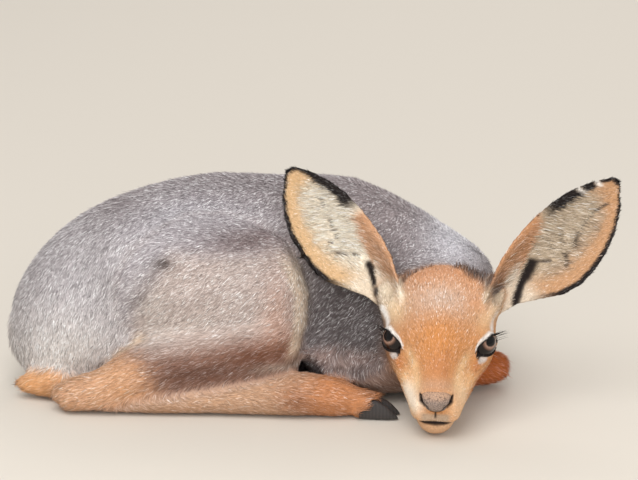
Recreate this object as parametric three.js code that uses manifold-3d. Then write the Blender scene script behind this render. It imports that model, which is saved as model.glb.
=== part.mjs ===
// A beira antelope calf, a few days old, lying curled on the ground with its neck bent round and its
// chin on the floor. Life size, in millimetres, +Z up. The trunk lies along X, rump at -X, and the face
// looks along -Y. The solids give the outline of the coat, out to the tips of the hair.
import * as THREE from "three";
import { ConvexGeometry } from "three/addons/geometries/ConvexGeometry.js";
import { mergeVertices } from "three/addons/utils/BufferGeometryUtils.js";
import Module from "manifold-3d";

const wasm = await Module();
wasm.setup();

// Driving sizes of the calf
const BACK_HEIGHT = 126;
const TRUNK_MIDDLE_Y = 64;
const RUMP_X = -111;
const CHEST_X = 36;
const HIND_CANNON_LENGTH = 126;
const CANNON_RADIUS = 7.6;
const EYE_RADIUS = 10;
const EYE_APART = 45;
const EAR_OUTER_WIDTH = { right: 30, left: 33 };
const EAR_INNER_WIDTH = 17;
const EAR_THICKNESS = 3;
const THIGH_DEPTH = 90;
const THIGH_REACH = 116;
const HOOF_LENGTH = 24;
const HOOF_HEIGHT = 12;
const HOOF_WIDTH = 7;
const PARTING = 0.35; // the gap between neighbouring pieces

// Rings and spokes of the two big lofts
const TRUNK_RINGS = 21;
const TRUNK_SPOKES = 24;
const HEAD_RINGS = 18;
const HEAD_SPOKES = 24;

// The head's own directions: along the jaw to the nose, up through the crown, and to its left side
const HEAD_PITCH = THREE.MathUtils.degToRad(14);
const HEAD_YAW = THREE.MathUtils.degToRad(3);
const HEAD_ROLL = THREE.MathUtils.degToRad(2);
const BETWEEN_EYES = new THREE.Vector3(79.2, -6, 46);
const turnOfHead = new THREE.Matrix4().makeRotationY(HEAD_ROLL)
  .multiply(new THREE.Matrix4().makeRotationZ(-HEAD_YAW))
  .multiply(new THREE.Matrix4().makeRotationX(HEAD_PITCH));
const forward = new THREE.Vector3(0, -1, 0).transformDirection(turnOfHead);
const crownward = new THREE.Vector3(0, 0, 1).transformDirection(turnOfHead);
const leftward = new THREE.Vector3(1, 0, 0).transformDirection(turnOfHead);
const HEAD_AXES = [forward, crownward, leftward];

function inHead(along, up, left) {
  return BETWEEN_EYES.clone()
    .addScaledVector(forward, along)
    .addScaledVector(crownward, up)
    .addScaledVector(leftward, left);
}

const at = (x, y, z) => new THREE.Vector3(x, y, z);
const WORLD_AXES = [at(1, 0, 0), at(0, 1, 0), at(0, 0, 1)];

// A field gives the distance to a form: below zero inside it, above zero outside.
function mass(centre, radii, axes = WORLD_AXES) {
  const [cx, cy, cz] = centre.toArray();
  const directions = axes.map((axis) => axis.toArray());
  return (x, y, z) => {
    const dx = x - cx;
    const dy = y - cy;
    const dz = z - cz;
    let near = 0;
    let steep = 0;
    for (let i = 0; i < 3; i += 1) {
      const [ax, ay, az] = directions[i];
      const share = (dx * ax + dy * ay + dz * az) / radii[i];
      near += share * share;
      steep += (share / radii[i]) ** 2;
    }
    const size = Math.sqrt(near);
    return steep < 1e-12 ? -Math.min(...radii) : (size * (size - 1)) / Math.sqrt(steep);
  };
}

// A stretch of limb from one joint to the next, with a radius at each.
function limb(from, to, fromRadius, toRadius) {
  const [ax, ay, az] = from.toArray();
  const [bx, by, bz] = to.clone().sub(from).toArray();
  const lengthSquared = bx * bx + by * by + bz * bz;
  return (x, y, z) => {
    const dx = x - ax;
    const dy = y - ay;
    const dz = z - az;
    const share = Math.min(1, Math.max(0, (dx * bx + dy * by + dz * bz) / lengthSquared));
    const away = Math.hypot(dx - bx * share, dy - by * share, dz - bz * share);
    return away - (fromRadius + (toRadius - fromRadius) * share);
  };
}

// Joins fields with a fillet about as wide as softness.
function blend(softness, ...fields) {
  return (x, y, z) => {
    let joined = fields[0](x, y, z);
    for (let i = 1; i < fields.length; i += 1) {
      const next = fields[i](x, y, z);
      const overlap = Math.max(softness - Math.abs(joined - next), 0) / softness;
      joined = Math.min(joined, next) - (overlap * overlap * softness) / 4;
    }
    return joined;
  };
}

const chain = (points, radii) =>
  points.slice(1).map((point, i) => limb(points[i], point, radii[i], radii[i + 1]));

// Trunk: pelvis, sacrum, loin, ribs and shoulders, with the neck bending round to the back of the head
const back = BACK_HEIGHT;
const mid = TRUNK_MIDDLE_Y;
const pelvis = mass(at(RUMP_X, mid - 6, 44), [53, 42, 47]);
const buttock = mass(at(RUMP_X - 26, mid - 8, 25), [27, 32, 29]);
const sacrum = mass(at(RUMP_X + 24, mid - 2, 58), [55, 38, 55]);
const loin = mass(at(-40, mid + 1, back / 2 - 1), [66, 42, back / 2]);
const ribs = mass(at(CHEST_X - 16, mid + 3, 63), [54, 41, 60]);
const shoulders = mass(at(CHEST_X + 18, mid + 1, 52), [42, 38, 46]);
const neckPath = [at(56, 66, 54), at(86, 62, 52), inHead(-32, -4, 0)];
const neckFlesh = blend(10, ...chain(neckPath, [38, 29, 24]),
  limb(at(84, 50, 30), inHead(-22, -19, 0), 23, 15));
const brisket = mass(at(76, 62, 32), [24, 28, 26]);
const nearFlank = mass(at(34, 60, 41), [36, 28, 41]);
const torso = blend(24, pelvis, buttock, sacrum, loin, ribs, shoulders, neckFlesh, brisket, nearFlank);

// Right hind leg, the one towards the viewer: the thigh's oval, then shank, hock, cannon and pastern
const rightHip = at(-90, 43, 76);
const rightStifle = at(-17, 23, 62);
const rightHock = at(-124, 4, 9.3);
const rightFetlock = at(rightHock.x + HIND_CANNON_LENGTH, 0, 12.6);
const rightToe = at(rightFetlock.x + 34, -3, 8.2);
const rightThigh = blend(12, limb(rightHip, rightStifle, 36, 26), mass(at(-45, 29, 61), [50, 30, 43]));
const rightShankPath = [at(-22, 18, 42), at(-68, 12, 29), rightHock];
const rightShank = blend(9, ...chain(rightShankPath, [26, 20, 9.5]),
  limb(at(-34, 16, 23), at(-9, 15, 21), 14, 13),
  limb(rightHock, at(-135, 7, 10), 8.5, 6.5), limb(rightHock, at(-106, 1, 8), 9.5, 8));
const rightFootPath = [rightHock, at(-70, 0, 7.4), at(-26, 0, 9.6), rightFetlock, at(20, -1, 10.4), rightToe];
const rightFoot = blend(7, ...chain(rightFootPath, [9.5, CANNON_RADIUS, 9.8, 13, 10.8, 8.6]));

// Left hind leg, folded under the belly with only its hock showing behind the rump
const leftHip = at(-96, 84, 54);
const leftStifle = at(-34, 84, 28);
const leftHock = at(-146, 24, 9);
const leftFetlock = at(-24, 25, 8.5);
const leftToe = at(-2, 24, 7.5);
const leftThigh = blend(12, limb(leftHip, leftStifle, 34, 26), mass(at(-62, 84, 40), [50, 28, 38]));
const leftShankPath = [at(-50, 68, 20), at(-96, 46, 15), leftHock];
const leftShank = blend(6, ...chain(leftShankPath, [16, 13, 9.5]),
  limb(leftHock, at(-156, 27, 9), 9, 7), limb(leftHock, at(-128, 24, 9), 9.5, 8));
const leftFootPath = [leftHock, at(-90, 23, 8), leftFetlock, leftToe];
const leftFoot = blend(6, ...chain(leftFootPath, [9, 7.4, 9.6, 8]));

// Forelegs, folded under the chest with the knees forward
function foreleg(side) {
  const right = side === "right";
  const shoulder = at(66, right ? 38 : 92, 50);
  const elbow = at(26, right ? 24 : 103, 22);
  const middle = at(64, right ? 23 : 99, 15);
  const knee = right ? at(110, 46, 12) : at(99, 88, 12);
  const inner = right ? 60 : 76;
  const toe = at(6, inner, 7);
  const armPath = [elbow, middle, knee];
  const footPath = [at(knee.x - 7, knee.y + (right ? 7 : -6), 8), at(30, inner, 8), toe];
  return {
    knee,
    toe,
    armPath,
    footPath,
    upper: limb(shoulder, elbow, 27, 19),
    arm: blend(5, ...chain(armPath, [17, 14, 10]), mass(knee, [13, 11.5, 11.5])),
    foot: blend(5, ...chain(footPath, [8, 7.4, 7.4])),
  };
}
const rightFore = foreleg("right");
const leftFore = foreleg("left");

// Tail, hanging short against the rump
const tailPath = [at(-148, 54, 58), at(-160, 50, 40), at(-163, 46, 23)];
const tailFlesh = blend(4, ...chain(tailPath, [9, 8, 5.5]));

// Head: cranium, brow, cheeks, snout and jaw, each pair mirrored about the midline
const pair = (along, up, left, radii) =>
  [-1, 1].map((side) => mass(inHead(along, up, side * left), radii, HEAD_AXES));
const cranium = mass(inHead(-20, 5, 0), [28, 25.5, 27], HEAD_AXES);
const brow = mass(inHead(1, 4, 0), [23, 19, 24], HEAD_AXES);
const orbits = pair(-1, 1, 22, [15, 13, 11]);
const cheeks = pair(-12, -12, 20, [20, 15, 11]);
const upperJaws = pair(10, -15, 11, [21, 12, 11.5]);
const jawAngles = pair(-17, -22, 13, [17, 13, 9]);
const snout = blend(8,
  limb(inHead(6, -10, 0), inHead(34, -20, 0), 17, 12.8),
  limb(inHead(8, 5, 0), inHead(36, -8.5, 0), 10.5, 8.5),
  ...pair(32, -21, 6, [12, 8, 9]));
const chin = limb(inHead(-6, -28, 0), inHead(32, -31.5, 0), 10, 7);
const noseFlesh = mass(inHead(39.5, -14, 0), [7, 8, 11], HEAD_AXES);
const earStalks = [-1, 1].map((side) =>
  limb(inHead(-20, 13, side * 20), inHead(-19, 17, side * 28), 13, 11));
const headFlesh = blend(9, cranium, brow, snout, ...orbits, ...cheeks, ...upperJaws, ...jawAngles,
  chin, noseFlesh, ...earStalks);

const body = blend(8, blend(13, torso, leftThigh, rightFore.upper, leftFore.upper), rightThigh);

// How far a ray runs from a point inside a field to the surface.
function reach(field, from, direction) {
  const value = (distance) => field(
    from.x + direction.x * distance,
    from.y + direction.y * distance,
    from.z + direction.z * distance,
  );
  let near = 0.4;
  let here = value(near);
  while (here < -0.02) {
    near += Math.max(0.7 * -here, 0.1);
    here = value(near);
  }
  return near;
}

// Lofts a closed surface round a curve: from points along it, closer together towards its ends, rays
// run out square to it to a field's surface.
function loft(field, curve, rings, spokes) {
  const positions = [];
  const triangles = [];
  const ringOf = (i) => (j) => 1 + i * spokes + (j % spokes);
  const last = 1 + rings * spokes;
  for (let i = 0; i < rings; i += 1) {
    const share = (1 - Math.cos((Math.PI * (i + 0.5)) / rings)) / 2;
    const centre = curve.getPoint(share);
    const along = curve.getTangent(share);
    const upward = at(0, 0, 1).addScaledVector(along, -along.z).normalize();
    const sideways = new THREE.Vector3().crossVectors(along, upward);
    if (i === 0) positions.push(...curve.getPoint(0).toArray());
    for (let j = 0; j < spokes; j += 1) {
      const turn = (2 * Math.PI * (j + 0.5)) / spokes;
      const ray = upward.clone().multiplyScalar(Math.cos(turn))
        .addScaledVector(sideways, Math.sin(turn));
      positions.push(...centre.clone().addScaledVector(ray, reach(field, centre, ray)).toArray());
    }
    const here = ringOf(i);
    const next = ringOf(i + 1);
    for (let j = 0; j < spokes; j += 1) {
      if (i === 0) triangles.push(0, here(j + 1), here(j));
      if (i < rings - 1) {
        triangles.push(here(j), here(j + 1), next(j + 1), here(j), next(j + 1), next(j));
      } else triangles.push(last, here(j), here(j + 1));
    }
  }
  positions.push(...curve.getPoint(1).toArray());
  const geometry = new THREE.BufferGeometry();
  geometry.setAttribute("position", new THREE.Float32BufferAttribute(positions, 3));
  geometry.setIndex(triangles);
  return solid(geometry);
}

function solid(geometry) {
  const bare = geometry.clone();
  bare.deleteAttribute("normal");
  bare.deleteAttribute("uv");
  const merged = mergeVertices(bare, 1e-4);
  return new wasm.Manifold(new wasm.Mesh({
    numProp: 3,
    vertProperties: new Float32Array(merged.attributes.position.array),
    triVerts: new Uint32Array(merged.index.array),
  }));
}

// A shape that can grow: a loft, parted by planes that move out with it.
const lofted = (field, curve, rings, spokes, ...planes) => (extra) => planes.reduce(
  (left, [point, direction]) => left.intersect(ahead(point, direction, extra)),
  loft((x, y, z) => field(x, y, z) - extra, curve, rings, spokes),
);
const curveThrough = (...points) => new THREE.CatmullRomCurve3(points);
const flipped = (direction) => direction.clone().negate();
const FAR = 400;

// Everything ahead of a plane through a point, as a big block; a positive shift takes more of it.
function ahead(point, direction, shift = 0) {
  const turn = new THREE.Quaternion().setFromUnitVectors(at(0, 0, 1), direction.clone().normalize());
  const geometry = new THREE.BoxGeometry(FAR, FAR, FAR)
    .translate(0, 0, FAR / 2 - shift)
    .applyQuaternion(turn)
    .translate(point.x, point.y, point.z);
  return solid(geometry);
}

// An egg with its radii along the first two of three directions and square to them.
function egg(centre, radii, axes = WORLD_AXES, growth = 0) {
  const square = new THREE.Vector3().crossVectors(axes[0], axes[1]);
  const [a, b, c] = [axes[0].clone(), axes[1].clone(), square].map((axis, i) =>
    axis.normalize().multiplyScalar(radii[i] + growth));
  const geometry = new THREE.SphereGeometry(1, 10, 7)
    .applyMatrix4(new THREE.Matrix4().makeBasis(a, b, c).setPosition(centre));
  return solid(geometry);
}

// Ears: a leaf rolled up at its base and opening to a shallow cup, broader on its outer side
const smooth = (value) => {
  const share = Math.min(1, Math.max(0, value));
  return share * share * (3 - 2 * share);
};
const EAR_ROWS = 9;
const EAR_COLUMNS = 6;
const EAR_BOW = 5;
const earRadius = (share) => 10 + 38 * smooth(share / 0.55) + 14 * share;
const earTwist = (share) => THREE.MathUtils.degToRad(24 * (1 - smooth(share / 0.55)));
function earEdge(share, widest, atBase, full) {
  if (share < widest) return atBase + (full - atBase) * smooth(share / widest);
  return Math.max(2.5, full * (1 - ((share - widest) / (1 - widest)) ** 2.2) ** 0.75);
}

function ear(base, tip, facing, outerSide, outerWidth, thickness) {
  const along = tip.clone().sub(base);
  const length = along.length();
  along.normalize();
  const flatAcross = new THREE.Vector3().crossVectors(along, facing).normalize();
  const outer = [];
  const inner = [];
  for (let i = 0; i <= EAR_ROWS; i += 1) {
    const share = i / EAR_ROWS;
    const across = flatAcross.clone().applyAxisAngle(along, outerSide * earTwist(share));
    const open = new THREE.Vector3().crossVectors(across, along);
    const radius = earRadius(share);
    const toOuter = earEdge(share, 0.42, 12, outerWidth);
    const toInner = earEdge(share, 0.55, 16, EAR_INNER_WIDTH);
    for (let j = 0; j <= EAR_COLUMNS; j += 1) {
      const sweep = -toInner + ((toInner + toOuter) * j) / EAR_COLUMNS;
      const angle = (outerSide * sweep) / radius;
      const inward = across.clone().multiplyScalar(-Math.sin(angle))
        .addScaledVector(open, Math.cos(angle));
      const middle = base.clone()
        .addScaledVector(along, share * length)
        .addScaledVector(across, radius * Math.sin(angle))
        .addScaledVector(open, radius * (1 - Math.cos(angle)) - EAR_BOW * Math.sin(Math.PI * share));
      const half = (thickness / 2) * (1 - 0.3 * share);
      outer.push(middle.clone().addScaledVector(inward, -half));
      inner.push(middle.clone().addScaledVector(inward, half));
    }
  }
  const width = EAR_COLUMNS + 1;
  const inside = outer.length;
  const triangles = [];
  const quad = (...ring) => {
    const [a, b, c, d] = outerSide < 0 ? ring : ring.reverse();
    triangles.push(a, b, c, a, c, d);
  };
  for (let i = 0; i < EAR_ROWS; i += 1) {
    for (let j = 0; j < EAR_COLUMNS; j += 1) {
      const a = i * width + j;
      quad(a, a + 1, a + width + 1, a + width);
      quad(inside + a, inside + a + width, inside + a + width + 1, inside + a + 1);
    }
    const left = i * width;
    const right = left + EAR_COLUMNS;
    quad(left, left + width, inside + left + width, inside + left);
    quad(right, inside + right, inside + right + width, right + width);
  }
  for (let j = 0; j < EAR_COLUMNS; j += 1) {
    const last = EAR_ROWS * width + j;
    quad(j, inside + j, inside + j + 1, j + 1);
    quad(last, last + 1, inside + last + 1, inside + last);
  }
  const geometry = new THREE.BufferGeometry();
  geometry.setAttribute("position", new THREE.Float32BufferAttribute(
    [...outer, ...inner].flatMap((point) => point.toArray()), 3));
  geometry.setIndex(triangles);
  return solid(geometry);
}

// Hooves: a pair of pointed claws for each foot, each the hull of four cross-sections from heel to tip
const CLAW_SECTIONS = [[0, 0.86, 0.9], [0.42, 1, 1], [0.76, 0.62, 0.8], [1, 0.16, 0.3]];
const CLAW_ROUND = [[0.8, 0], [1, 0.35], [0.5, 1]];
function claw(heel, direction, side, growth) {
  const points = [];
  for (const [share, height, width] of CLAW_SECTIONS)
    for (const [out, up] of CLAW_ROUND)
      for (const face of [-1, 1])
        points.push(at(
          share * (HOOF_LENGTH + 2 * growth) - growth,
          face * out * ((width * HOOF_WIDTH) / 2 + growth) + side * (HOOF_WIDTH / 2 + 0.4),
          up * (height * HOOF_HEIGHT + growth),
        ));
  const geometry = new ConvexGeometry(points)
    .rotateZ(Math.atan2(direction.y, direction.x))
    .translate(heel.x, heel.y, heel.z);
  return solid(geometry);
}

const coat = (colour, roughness = 0.85) =>
  new THREE.MeshStandardMaterial({ color: colour, roughness, metalness: 0 });
const GREY = coat(0xb0a6a4);
const FLANK = coat(0xbfa294);
const RUFOUS = coat(0xcf9260);
const FAWN = coat(0xcda183);
const PALE = coat(0xd9b48a);
const NOSE = coat(0x9c8878, 0.5);
const HORN = coat(0x3a3431, 0.45);
const EYE = coat(0x2a1c14, 0.1);

// The pieces are cut out in order: each is a solid shape drawn in by half the gap, and every later
// piece leaves room for it, grown by the other half.
const HALF = PARTING / 2;
const group = new THREE.Group();
const rooms = [];
function cutOut(name, material, shape, within) {
  let piece = within ? within.intersect(shape(-HALF)) : shape(-HALF);
  for (const room of rooms) piece = piece.subtract(room);
  rooms.push(shape(HALF));
  const whole = piece.decompose().reduce((best, one) => (one.volume() > best.volume() ? one : best));
  const made = whole.getMesh();
  const geometry = new THREE.BufferGeometry();
  geometry.setAttribute("position", new THREE.Float32BufferAttribute(made.vertProperties, 3));
  geometry.setIndex([...made.triVerts]);
  const mesh = new THREE.Mesh(geometry, material);
  mesh.name = name;
  group.add(mesh);
}

// Feet: the claws stand on the floor, below which nothing of the calf reaches
const feet = {
  right_hind: [at(rightToe.x - 2, rightToe.y, 0), at(1, -0.14, 0)],
  left_hind: [at(leftToe.x - 2, leftToe.y, 0), at(1, -0.05, 0)],
  right_fore: [at(rightFore.toe.x + 2, rightFore.toe.y, 0), at(-1, 0, 0)],
  left_fore: [at(leftFore.toe.x + 2, leftFore.toe.y, 0), at(-1, 0, 0)],
};
for (const [foot, [heel, direction]] of Object.entries(feet))
  for (const [which, side] of [["outer", -1], ["inner", 1]])
    cutOut(`${foot}_hoof_${which}`, HORN, (extra) => claw(heel, direction, side, extra));
rooms.push(ahead(at(0, 0, 0), at(0, 0, -1)));

// Eyes, in sockets that open forwards and outwards between almond-shaped lids
const earTip = { right: at(-5, 18, 140), left: at(179, 20, 133) };
const earFacing = { right: at(-0.2, -1, 0.12), left: at(0.25, -1, 0.05) };
const hollows = [];
for (const [name, side] of [["right", -1], ["left", 1]]) {
  const eyeCentre = inHead(1, 1, (side * EYE_APART) / 2);
  const look = forward.clone().multiplyScalar(0.68)
    .addScaledVector(crownward, 0.12)
    .addScaledVector(leftward, side * 0.72);
  const lidLine = new THREE.Vector3().crossVectors(look, crownward);
  cutOut(`eye_${name}`, EYE, (extra) =>
    egg(eyeCentre, [EYE_RADIUS, EYE_RADIUS, EYE_RADIUS], WORLD_AXES, extra));
  hollows.push(egg(eyeCentre.clone().addScaledVector(look, EYE_RADIUS + 1), [9, 10.5, 8], [look, lidLine]));

  const earBase = inHead(-19, 15, side * 25);
  cutOut(`ear_${name}`, PALE, (extra) =>
    ear(earBase, earTip[name], earFacing[name], side, EAR_OUTER_WIDTH[name], EAR_THICKNESS + 2 * extra));
  const earAlong = earTip[name].clone().sub(earBase).normalize();
  hollows.push(egg(earBase.clone().addScaledVector(earAlong, 14).addScaledVector(earFacing[name], 8),
    [12, 7, 7], [earAlong, earFacing[name].clone().normalize()]));
}
rooms.push(...hollows);

// Legs: each stretch between two joints is lofted on its own and parted by planes at the joints
const onwards = at(1, 0, -0.25);
const belowHock = (hock) => [at(hock.x + 10, hock.y, hock.z), onwards];
const rightFetlockParting = at(rightFetlock.x + 4, 0, 12);
const rightFootCurve = curveThrough(at(-132, 3, 9), ...rightFootPath, at(rightToe.x + 7, -3, 8));
cutOut("right_hind_pastern", RUFOUS,
  lofted(rightFoot, rightFootCurve, 16, 10, [rightFetlockParting, onwards]));
cutOut("right_hind_cannon", RUFOUS, lofted(rightFoot, rightFootCurve, 16, 10,
  belowHock(rightHock), [rightFetlockParting, flipped(onwards)]));
cutOut("right_shank", FAWN, lofted(rightShank,
  curveThrough(at(0, 22, 50), ...rightShankPath, at(-142, 8, 10)), 9, 10));

cutOut("left_hind_cannon", RUFOUS, lofted(leftFoot,
  curveThrough(at(-154, 24, 10), ...leftFootPath, at(5, 24, 7)), 8, 7, belowHock(leftHock)));
cutOut("left_shank", FAWN, lofted(leftShank,
  curveThrough(at(-36, 72, 20), ...leftShankPath, at(-163, 28, 9)), 7, 7));

for (const [name, leg] of [["right", rightFore], ["left", leftFore]]) {
  const pastElbow = leg.armPath[0].clone().add(at(-14, -1, 0));
  const pastKnee = leg.knee.clone().add(at(12, 2, -2));
  cutOut(`${name}_forearm`, FAWN,
    lofted(leg.arm, curveThrough(pastElbow, ...leg.armPath, pastKnee), 8, 8));
  cutOut(`${name}_fore_cannon`, RUFOUS, lofted(leg.foot, curveThrough(...leg.footPath), 5, 6,
    [leg.knee.clone().add(at(-12, 0, 0)), at(-1, 0, 0)]));
}
cutOut("tail", GREY, lofted(tailFlesh, curveThrough(...tailPath, at(-163, 44, 15)), 6, 8));

// Head: lofted from behind the ears to the nose, and parted there and along the mouth
const headRegion = mass(inHead(6, 0, 0), [64, 49, 58], HEAD_AXES);
const blended = blend(14, neckFlesh, headFlesh);
const headField = (x, y, z) => Math.max(blended(x, y, z), headRegion(x, y, z));
const headLine = new THREE.LineCurve3(inHead(-52, -6, 0), inHead(46, -15, 0));
const throatward = forward.clone().multiplyScalar(0.92).addScaledVector(crownward, 0.38);
const behindHead = [inHead(-37, 0, 0), throatward];
cutOut("nose_pad", NOSE, (extra) => egg(inHead(45, -14, 0), [6.5, 7.5, 11], HEAD_AXES, extra));
cutOut("lower_jaw", PALE, lofted(headField, headLine, HEAD_RINGS, HEAD_SPOKES,
  [inHead(0, -27.5, 0), flipped(crownward)], [inHead(-6, 0, 0), forward]));
cutOut("head", RUFOUS, lofted(headField, headLine, HEAD_RINGS, HEAD_SPOKES, behindHead));

// Trunk: lofted as a whole along the back; the thighs' ovals are cut out of it and the rest is sliced
const trunkLine = new THREE.LineCurve3(at(-167, 58, 44), at(114, 60, 46));
const whole = loft(body, trunkLine, TRUNK_RINGS, TRUNK_SPOKES);
rooms.push(egg(inHead(5, -6, 0), [60, 40, 36], HEAD_AXES).intersect(ahead(...behindHead, HALF)));
function thighRegion(x, z, length, height, tilt, side, growth) {
  const geometry = new THREE.CylinderGeometry(1, 1, THIGH_DEPTH + growth, 18)
    .scale(length + growth, 1, height + growth)
    .rotateY(tilt)
    .translate(x, TRUNK_MIDDLE_Y + (side * THIGH_REACH) / 2, z);
  return solid(geometry);
}
cutOut("right_thigh", FLANK, (extra) => thighRegion(-46, 66, 58, 44, 0.12, -1, extra), whole);
cutOut("left_thigh", FLANK, (extra) => thighRegion(-64, 40, 54, 40, 0.12, 1, extra), whole);
for (const [name, from] of [["neck", 68], ["chest", 2], ["loin", -64], ["rump", -FAR]])
  cutOut(name, GREY, (extra) => ahead(at(from, 0, 0), at(1, 0, 0), extra), whole);

const extent = new THREE.Box3().setFromObject(group);
const middleOfFloor = extent.getCenter(at(0, 0, 0)).setZ(extent.min.z);
group.position.sub(middleOfFloor);

export default group;
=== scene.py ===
import math
import bmesh
import bpy
import numpy as np
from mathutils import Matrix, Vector
from mathutils.kdtree import KDTree


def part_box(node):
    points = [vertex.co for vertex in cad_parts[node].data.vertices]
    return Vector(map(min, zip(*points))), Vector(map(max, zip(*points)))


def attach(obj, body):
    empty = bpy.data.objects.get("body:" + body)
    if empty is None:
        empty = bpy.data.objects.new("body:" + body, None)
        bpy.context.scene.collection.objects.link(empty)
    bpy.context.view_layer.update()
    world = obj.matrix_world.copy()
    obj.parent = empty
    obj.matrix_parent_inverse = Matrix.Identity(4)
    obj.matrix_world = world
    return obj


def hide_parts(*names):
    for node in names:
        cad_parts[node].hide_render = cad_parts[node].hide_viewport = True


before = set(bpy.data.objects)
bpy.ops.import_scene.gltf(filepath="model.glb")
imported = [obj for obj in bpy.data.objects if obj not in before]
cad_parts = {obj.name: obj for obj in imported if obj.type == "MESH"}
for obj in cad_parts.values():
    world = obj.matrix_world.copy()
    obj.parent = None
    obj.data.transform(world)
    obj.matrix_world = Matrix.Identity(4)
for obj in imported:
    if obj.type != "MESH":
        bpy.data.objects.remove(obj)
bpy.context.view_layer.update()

# Where the head looks
# The calf's face sets every other place: the eyes lie level across the head, the muzzle points at the
# viewer and a little down, and the ears stand on the crown.
def centre_of(node):
    low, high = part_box(node)
    return (low + high) / 2


right_eye = centre_of("eye_right")
left_eye = centre_of("eye_left")
between_eyes = (right_eye + left_eye) / 2
leftward = (left_eye - right_eye).normalized()
muzzleward = Vector((-0.0675, -0.969, -0.238))
muzzleward = (muzzleward - leftward * muzzleward.dot(leftward)).normalized()
crownward = muzzleward.cross(leftward)


def on_head(along, up, left):
    """A point of the head, in millimetres from between the eyes."""
    return between_eyes + (muzzleward * along + crownward * up + leftward * left) / 1000


def head_way(along, up, left):
    """A direction on the head, from its shares towards the muzzle, the crown and the left."""
    return np.array((muzzleward * along + crownward * up + leftward * left).normalized())


# The stand of the camera, the floor and the studio light
# The calf is seen from a little above its side, as a person crouching two metres off sees it, on a plain
# pale floor. One wide soft lamp hangs over it, a weaker one stands in front and a third behind.
camera = bpy.data.objects.new("camera", bpy.data.cameras.new("camera"))
bpy.context.scene.collection.objects.link(camera)
bpy.context.scene.camera = camera
ELEVATION = math.radians(18)
DISTANCE = 2.0
VIEW_WIDTH = 0.3552
camera.data.sensor_width = 36
camera.data.lens = camera.data.sensor_width * DISTANCE / VIEW_WIDTH
aim = between_eyes + Vector((-0.0674, 0.006, 0.057))
back_off = Vector((0, -math.cos(ELEVATION), math.sin(ELEVATION)))
camera.location = aim + back_off * DISTANCE
camera.rotation_euler = (math.pi / 2 - ELEVATION, 0, 0)

FLOOR_REACH = 6.0
floor_mesh = bpy.data.meshes.new("floor")
floor_mesh.from_pydata(
    [(x * FLOOR_REACH, y * FLOOR_REACH, -0.0003) for x, y in ((-1, -1), (1, -1), (1, 1), (-1, 1))],
    [], [(0, 1, 2, 3)])
floor = bpy.data.objects.new("floor", floor_mesh)
bpy.context.scene.collection.objects.link(floor)
floor_paint = bpy.data.materials.new("pale_floor")
floor_paint.use_nodes = True
floor_surface = floor_paint.node_tree.nodes["Principled BSDF"]
floor_surface.inputs["Base Color"].default_value = (0.68, 0.63, 0.56, 1)
floor_surface.inputs["Roughness"].default_value = 0.9
floor_mesh.materials.append(floor_paint)

LAMPS = {
    "lamp_over": ((-0.4, -0.8, 1.5), 1.4, 19),
    "lamp_front": ((0.3, -1.8, 0.5), 1.3, 21),
    "lamp_back": ((0.4, 1.4, 1.3), 1.0, 8),
}
for name, (place, width, watts) in LAMPS.items():
    light = bpy.data.lights.new(name, "AREA")
    light.size = width
    light.energy = watts
    lamp = bpy.data.objects.new(name, light)
    lamp.location = place
    lamp.visible_glossy = name == "lamp_over"
    lamp.rotation_euler = (aim - lamp.location).to_track_quat("-Z", "Y").to_euler()
    bpy.context.scene.collection.objects.link(lamp)
sky = bpy.data.worlds.new("studio")
sky.use_nodes = True
sky.node_tree.nodes["Background"].inputs["Color"].default_value = (1.0, 0.98, 0.95, 1)
sky.node_tree.nodes["Background"].inputs["Strength"].default_value = 0.55
bpy.context.scene.world = sky
bpy.context.scene.view_settings.view_transform = "Standard"

# Skin
# One hide covers the whole calf but for the eyes, nose pad and hooves. It lies under the coat by the
# coat's depth, and it is smoothed where the body is round and kept crisp on the face, ears and feet.
NOT_FLESH = ("eye_", "nose_pad", "hoof")
flesh = [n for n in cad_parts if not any(word in n for word in NOT_FLESH)]
SWELL = 0.0003  # closes the thin gaps between the solids
VOXEL = 0.0011


def corners_of(mesh):
    places = np.empty(len(mesh.vertices) * 3, np.float32)
    mesh.vertices.foreach_get("co", places)
    return places.reshape(-1, 3).astype(np.float64)


def triangles_of(mesh):
    mesh.calc_loop_triangles()
    triangles = np.empty(len(mesh.loop_triangles) * 3, np.int32)
    mesh.loop_triangles.foreach_get("vertices", triangles)
    return triangles.reshape(-1, 3)


def unit(rows):
    return rows / np.maximum(np.linalg.norm(rows, axis=1, keepdims=True), 1e-12)


def corner_normals(places, triangles):
    """Normals of the vertices, each face counted by its size."""
    a, b, c = (places[triangles[:, k]] for k in range(3))
    across = np.cross(b - a, c - a)
    total = np.zeros_like(places)
    for k in range(3):
        for axis in range(3):
            total[:, axis] += np.bincount(triangles[:, k], across[:, axis], len(places))
    return unit(total)


def swollen(node, extra=0.0):
    """A solid's corners and faces, with what is one corner joined up, grown by extra."""
    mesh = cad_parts[node].data
    places = corners_of(mesh)
    triangles = triangles_of(mesh)
    _, first, which = np.unique(np.round(places, 6), axis=0, return_index=True, return_inverse=True)
    triangles = which.ravel()[triangles]
    places = places[first]
    return places + corner_normals(places, triangles) * extra, triangles


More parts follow.
